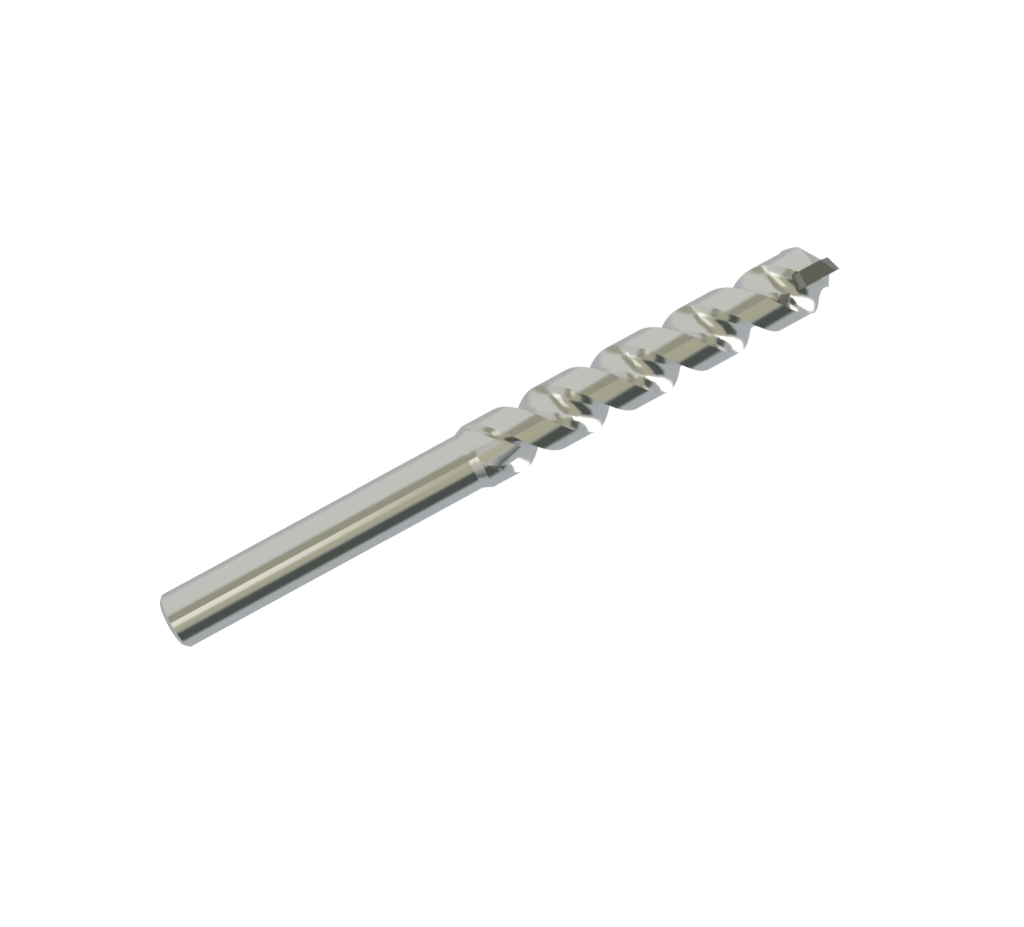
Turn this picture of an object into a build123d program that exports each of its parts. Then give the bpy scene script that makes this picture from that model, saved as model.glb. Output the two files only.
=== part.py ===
from build123d import *
import math
import os

# Masonry drill bit, nominal 14 mm by 150 mm, in millimetres
# The bit stands on its shank end: +Z runs along the axis to the point, and the
# origin is the centre of the shank's end face. The hardmetal plate's width lies along X.

# Driving dimensions: the turned blank
overall_length = 150.0
shank_diameter = 11.8
shank_length = 66.4
shank_end_chamfer = 0.8
shoulder_length = 2.0
body_diameter = 13.6
head_diameter = 14.1
head_length = 8.2
head_step_length = 0.6

# Driving dimensions: the two right-hand flutes
flute_count = 2
flute_lead = 33.0
core_diameter = 7.0
flute_profile_radius = 16.0
flute_runout_length = 9.0
land_centre_setback = 4.0

# Driving dimensions: the steel front, the hardmetal plate and its brazed joint
steel_point_angle = 110.0
steel_point_setback = 0.8
plate_width = 14.4
plate_thickness = 3.2
plate_height = 10.0
plate_foot_chamfer = 1.0
plate_point_angle = 130.0
lip_relief_angle = 25.0
braze_thickness = 0.15

# The blank's outline, worked out from the shank end to the point
shank_radius = shank_diameter / 2
body_radius = body_diameter / 2
head_radius = head_diameter / 2
core_radius = core_diameter / 2
body_start = shank_length + shoulder_length
head_start = overall_length - head_length
steel_apex = overall_length - steel_point_setback
point_slope = math.tan(math.radians(90 - steel_point_angle / 2))
point_start = steel_apex - head_radius * point_slope

with BuildPart() as blank:
    with BuildSketch(Plane.XZ):
        with BuildLine():
            Polyline(
                (0, 0),
                (shank_radius - shank_end_chamfer, 0),
                (shank_radius, shank_end_chamfer),
                (shank_radius, shank_length),
                (body_radius, body_start),
                (body_radius, head_start - head_step_length),
                (head_radius, head_start),
                (head_radius, point_start),
                (0, steel_apex),
                close=True,
            )
        make_face()
    revolve(axis=Axis.Z)

# The flute cutter reaches past the blank all round and past its point
cutter_clearance = 2.0
cutter_reach = max(head_radius, body_radius) + cutter_clearance
cutter_end = overall_length + cutter_clearance

# The run-out: the flute's floor climbs as a cone from the core to the body's surface,
# and on out past the cutter's reach
ramp_radius = cutter_reach + cutter_clearance
runout_end = body_start + flute_runout_length
runout_slope = flute_runout_length / (body_radius - core_radius)
runout_foot = body_start - runout_slope * (ramp_radius - body_radius)

with BuildPart() as runout_ramp:
    with BuildSketch(Plane.XZ):
        with BuildLine():
            Polyline(
                (0, runout_foot - cutter_clearance),
                (ramp_radius, runout_foot - cutter_clearance),
                (ramp_radius, runout_foot),
                (core_radius, runout_end),
                (0, runout_end),
                close=True,
            )
        make_face()
    revolve(axis=Axis.Z)


def land_angle(height):
    """Angle of a land's centre at this height: it lies along X inside the head"""
    return (height - (overall_length - land_centre_setback)) / flute_lead * 360


def flute_cutter(start, length):
    """One length of one flute: a round-bottomed channel that turns with the lead"""
    with BuildPart() as cutter:
        floor_angle = land_angle(start) + 180 / flute_count
        with BuildSketch(Plane.XY.offset(start).rotated((0, 0, floor_angle))):
            Circle(cutter_reach)
            with Locations((core_radius + flute_profile_radius, 0)):
                Circle(flute_profile_radius, mode=Mode.INTERSECT)
        spine = Edge.make_line((0, 0, start), (0, 0, start + length))
        guide = Edge.make_helix(flute_lead, length, cutter_reach, center=(0, 0, start))
        sweep(path=spine, binormal=guide)
        add(runout_ramp, mode=Mode.SUBTRACT)
    return cutter


# Each flute is cut in lengths of no more than half a turn, from the ramp to the point
flute_start = runout_foot
cut_count = math.ceil((cutter_end - flute_start) / (flute_lead / 2))
cut_length = (cutter_end - flute_start) / cut_count
flute_cutters = [flute_cutter(flute_start + cut_length * n, cut_length) for n in range(cut_count)]

with BuildPart() as fluted_bar:
    add(blank)
    for cutter in flute_cutters:
        for flute in range(flute_count):
            add(cutter, rotation=(0, 0, 360 / flute_count * flute), mode=Mode.SUBTRACT)

# The hardmetal plate: a flat bar whose two relieved lips meet in a chisel edge
plate_foot = overall_length - plate_height
lip_fall = math.tan(math.radians(90 - plate_point_angle / 2))
relief_fall = math.tan(math.radians(lip_relief_angle))
lip_peak = overall_length + plate_thickness / 2 * relief_fall

with BuildPart() as carbide_tip:
    with BuildSketch(Plane.XY.offset(plate_foot)):
        Rectangle(plate_width, plate_thickness)
    extrude(amount=lip_peak - plate_foot)
    foot_corners = carbide_tip.edges().filter_by(Axis.Y).group_by(Axis.Z)[0]
    chamfer(foot_corners, plate_foot_chamfer)
    for side in (1, -1):
        along_lip = Vector(side, 0, -lip_fall)
        across_lip = Vector(0, side, relief_fall)
        lip_plane = Plane(
            origin=(0, side * plate_thickness / 2, lip_peak),
            x_dir=along_lip,
            z_dir=along_lip.cross(across_lip),
        )
        split(bisect_by=lip_plane, keep=Keep.BOTTOM)
carbide_tip.part.label = "carbide_tip"

# The slot is milled right across the head, wider and deeper than the plate by the braze
with BuildPart() as plate_slot:
    with BuildSketch(Plane.XY.offset(plate_foot - braze_thickness)):
        Rectangle(2 * cutter_reach, plate_thickness + 2 * braze_thickness)
    extrude(amount=cutter_end - plate_foot)

with BuildPart() as steel_body:
    add(fluted_bar)
    add(plate_slot, mode=Mode.SUBTRACT)
steel_body.part.label = "steel_body"

# The braze fills what the plate leaves of the slot, flush with the steel
with BuildPart() as braze_layer:
    add(fluted_bar)
    add(plate_slot, mode=Mode.INTERSECT)
    add(carbide_tip, mode=Mode.SUBTRACT)
braze_layer.part.label = "braze_layer"

os.makedirs("parts", exist_ok=True)
export_step(steel_body.part, "parts/steel_body.step")
export_step(carbide_tip.part, "parts/carbide_tip.step")
export_step(braze_layer.part, "parts/braze_layer.step")
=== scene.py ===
import math

import bpy
from mathutils import Matrix, Vector

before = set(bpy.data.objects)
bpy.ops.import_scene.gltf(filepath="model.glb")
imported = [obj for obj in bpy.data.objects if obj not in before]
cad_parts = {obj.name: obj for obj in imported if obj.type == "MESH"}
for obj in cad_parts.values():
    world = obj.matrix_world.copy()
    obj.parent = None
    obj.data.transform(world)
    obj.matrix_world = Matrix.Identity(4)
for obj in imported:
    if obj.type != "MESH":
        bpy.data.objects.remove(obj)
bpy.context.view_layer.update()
bpy.context.scene.view_settings.view_transform = "Standard"

# The picture's width and the lens, in pixels
picture_width = 1024
focal_length_pixels = 1396.0
sensor_width = 36.0

# The camera's place, in metres and degrees
axis_rise_in_picture = 28.61
point_leans_away = 1.9
camera_distance = 0.2784
aim_height = 0.07385
aim_below_axis = 0.00447

# The floor is a round light table
floor_radius = 0.6
floor_rings = 24
floor_glow = 0.75


def linear(red, green, blue):
    """A colour as a screen shows it, 0 to 255, as the linear colour that a shader takes"""
    shares = [v / 255 for v in (red, green, blue)]
    return tuple(v / 12.92 if v <= 0.04045 else ((v + 0.055) / 1.055) ** 2.4 for v in shares)


def photograph_camera():
    """The camera looks along the plate's width, rolled so that the point is at the upper right"""
    lean = math.radians(point_leans_away)
    roll = math.radians(axis_rise_in_picture)
    back = Vector((math.cos(lean), 0, -math.sin(lean)))
    along = Vector((math.sin(lean), 0, math.cos(lean)))
    across = back.cross(along)
    right = along * math.cos(roll) - across * math.sin(roll)
    up = along * math.sin(roll) + across * math.cos(roll)
    place = Vector((0, 0, aim_height)) + back * camera_distance - across * aim_below_axis
    camera_data = bpy.data.cameras.new("camera")
    camera_data.sensor_width = sensor_width
    camera_data.lens = focal_length_pixels / picture_width * sensor_width
    camera_data.clip_start = 0.01
    camera_data.clip_end = 20
    camera = bpy.data.objects.new("camera", camera_data)
    turn = Matrix((right, up, back)).transposed()
    camera.matrix_world = Matrix.Translation(place) @ turn.to_4x4()
    bpy.context.scene.collection.objects.link(camera)
    bpy.context.scene.camera = camera


class Nodes:
    """Short ways to add and join shader nodes in one tree"""

    def __init__(self, tree):
        self.tree = tree

    def add(self, kind, **settings):
        node = self.tree.nodes.new(kind)
        for name, value in settings.items():
            setattr(node, name, value)
        return node

    def feed(self, socket, value):
        """A socket takes another node's output, or a plain value"""
        if isinstance(value, bpy.types.NodeSocket):
            self.tree.links.new(value, socket)
        elif hasattr(value, "__len__") and len(value) == 3 and len(socket.default_value) == 4:
            socket.default_value = (*value, 1)
        else:
            socket.default_value = value

    def math(self, operation, *values):
        node = self.add("ShaderNodeMath", operation=operation)
        for socket, value in zip(node.inputs, values):
            self.feed(socket, value)
        return node.outputs[0]

    def fade(self, value, low, high, bottom=0.0, top=1.0):
        """A smooth step: bottom below low, top above high"""
        node = self.add("ShaderNodeMapRange", interpolation_type="SMOOTHSTEP")
        for socket, given in zip(node.inputs, (value, low, high, bottom, top)):
            self.feed(socket, given)
        return node.outputs[0]

    def mix(self, share, first, second):
        node = self.add("ShaderNodeMix", data_type="RGBA")
        self.feed(node.inputs[0], share)
        self.feed(node.inputs[6], first)
        self.feed(node.inputs[7], second)
        return node.outputs[2]


# The studio's walls and lights: the middle azimuth and half width, the middle elevation and
# half height, how softly they end, in degrees, then the colour as seen and its strength.
# Azimuth 0 is the photograph's camera, and azimuth 90 is +Y.
tent_wall = linear(198, 199, 194)
studio = {
    "cool_corner": (-160, 42, 0, 90, 24, linear(174, 177, 181), 1),
    "cool_wall": (140, 52, 0, 90, 22, linear(170, 174, 177), 1),
    "warm_gap": (-14, 16, -10, 50, 12, linear(150, 149, 132), 1),
    "camera_gap": (20, 22, 0, 48, 12, linear(170, 168, 146), 1),
    "dark_flag": (68, 24, -2, 40, 16, linear(74, 80, 76), 1),
    "front_light": (9, 10, -36, 32, 8, linear(232, 231, 216), 1),
    "dim_floor_side": (-60, 62, -78, 14, 14, linear(156, 156, 140), 1),
    "low_softbox": (62, 62, -78, 24, 12, linear(255, 255, 244), 1.15),
    "top_softbox": (70, 84, 80, 30, 12, linear(255, 255, 248), 1.4),
}


def studio_world():
    """A light tent: soft panels round the bit, and plain white behind it"""
    world = bpy.data.worlds.new("studio")
    bpy.context.scene.world = world
    world.use_nodes = True
    tree = world.node_tree
    tree.nodes.clear()
    n = Nodes(tree)
    direction = n.add("ShaderNodeTexCoord").outputs["Generated"]
    split = n.add("ShaderNodeSeparateXYZ")
    n.feed(split.inputs[0], direction)
    east, north, rise = split.outputs
    azimuth = n.math("ARCTAN2", north, east)
    elevation = n.math("DEGREES", n.math("ARCSINE", rise))
    colour = n.add("ShaderNodeRGB").outputs[0]
    colour.default_value = (*tent_wall, 1)
    for middle, half, height, half_height, soft, seen, strength in studio.values():
        turned = n.math("SUBTRACT", azimuth, math.radians(middle))
        off = n.math("DEGREES", n.math("ARCCOSINE", n.math("COSINE", turned)))
        beside = n.fade(off, half - soft / 2, half + soft / 2, 1, 0)
        above = n.math("ABSOLUTE", n.math("SUBTRACT", elevation, height))
        level = n.fade(above, half_height - soft / 2, half_height + soft / 2, 1, 0)
        share = n.math("MULTIPLY", beside, level)
        colour = n.mix(share, colour, tuple(c * strength for c in seen))
    backdrop = n.add("ShaderNodeLightPath").outputs["Is Camera Ray"]
    background = n.add("ShaderNodeBackground")
    n.feed(background.inputs["Color"], n.mix(backdrop, colour, (1, 1, 1)))
    output = n.add("ShaderNodeOutputWorld")
    tree.links.new(background.outputs[0], output.inputs["Surface"])


def new_material(name):
    material = bpy.data.materials.new(name)
    material.use_nodes = True
    n = Nodes(material.node_tree)
    shader = material.node_tree.nodes["Principled BSDF"]
    return material, n, shader


def light_table():
    """A plain white floor, lit from below, that the metal doesn't mirror"""
    material, n, shader = new_material("light_table")
    n.feed(shader.inputs["Base Color"], (0.8, 0.8, 0.8))
    n.feed(shader.inputs["Roughness"], 0.9)
    n.feed(shader.inputs["Specular IOR Level"], 0.0)
    n.feed(shader.inputs["Emission Color"], (1, 1, 1))
    n.feed(shader.inputs["Emission Strength"], floor_glow)
    points = []
    faces = []
    steps = 96
    for ring in range(1, floor_rings + 1):
        radius = floor_radius * (ring / floor_rings) ** 2
        for step in range(steps):
            turn = 2 * math.pi * step / steps
            points.append((radius * math.cos(turn), radius * math.sin(turn), 0))
    faces.append(list(range(steps)))
    for ring in range(floor_rings - 1):
        for step in range(steps):
            near, far = ring * steps, (ring + 1) * steps
            after = (step + 1) % steps
            faces.append((near + step, far + step, far + after, near + after))
    mesh = bpy.data.meshes.new("floor")
    mesh.from_pydata(points, [], faces)
    mesh.materials.append(material)
    floor = bpy.data.objects.new("floor", mesh)
    bpy.context.scene.collection.objects.link(floor)
    floor.visible_glossy = False


def steel_material():
    material, n, shader = new_material("bright_steel")
    n.feed(shader.inputs["Metallic"], 1.0)
    n.feed(shader.inputs["Base Color"], (0.93, 0.93, 0.92))
    n.feed(shader.inputs["Roughness"], 0.16)
    return material


def hardmetal_material():
    material, n, shader = new_material("hardmetal")
    n.feed(shader.inputs["Metallic"], 1.0)
    n.feed(shader.inputs["Base Color"], (0.3, 0.3, 0.31))
    n.feed(shader.inputs["Roughness"], 0.38)
    return material


def braze_material():
    material, n, shader = new_material("braze")
    n.feed(shader.inputs["Metallic"], 1.0)
    n.feed(shader.inputs["Base Color"], (0.68, 0.62, 0.38))
    n.feed(shader.inputs["Roughness"], 0.35)
    return material


photograph_camera()
studio_world()
light_table()

node_materials = {
    "steel_body": steel_material(),
    "carbide_tip": hardmetal_material(),
    "braze_layer": braze_material(),
}
for name, material in node_materials.items():
    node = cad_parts[name]
    node.data.materials.clear()
    node.data.materials.append(material)
    for polygon in node.data.polygons:
        polygon.use_smooth = True
